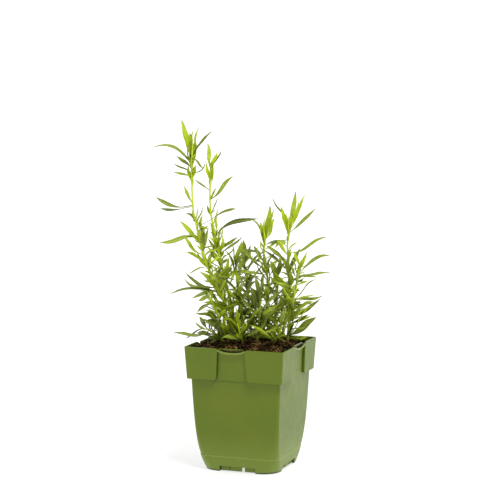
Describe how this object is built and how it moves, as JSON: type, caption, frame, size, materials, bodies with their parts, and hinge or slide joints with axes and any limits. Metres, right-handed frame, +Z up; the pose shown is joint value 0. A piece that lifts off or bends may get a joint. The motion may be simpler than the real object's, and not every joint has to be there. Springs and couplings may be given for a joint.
{
  "type": "potted tarragon plant",
  "caption": "Tarragon herb plant: slender stems with narrow green leaves, rooted in peat in a square green plastic nursery pot with a label slot in each side.",
  "frame": {"origin": "under the middle of the pot, on the surface that its four corner feet stand on", "axes": "+Z up, the pot's sides face along X and Y, and the pictured corner of the pot is the one between -Y and +X"},
  "size_m": [0.1661, 0.1198, 0.352],
  "materials": {
    "pot_plastic": "semi-gloss moulded polypropylene",
    "peat": "moist fibrous peat",
    "young_leaf": "smooth fresh leaf, slightly waxy",
    "old_leaf": "smooth grown leaf, slightly waxy"
  },
  "bodies": {
    "root": {"pot": "pot_plastic", "peat": "peat", "stem_tall_left": "young_leaf", "stem_tall_back": "young_leaf", "stem_right": "young_leaf", "stem_middle": "young_leaf", "stem_right_front": "young_leaf", "stem_left_low": "old_leaf", "stem_left_trailing": "old_leaf", "stem_inner_left": "young_leaf", "stem_inner_back": "young_leaf", "stem_inner_front": "old_leaf", "stem_right_back": "old_leaf", "stem_left_back": "old_leaf", "stem_front_left": "old_leaf", "stem_front_right": "old_leaf"}
  },
  "joints": []
}
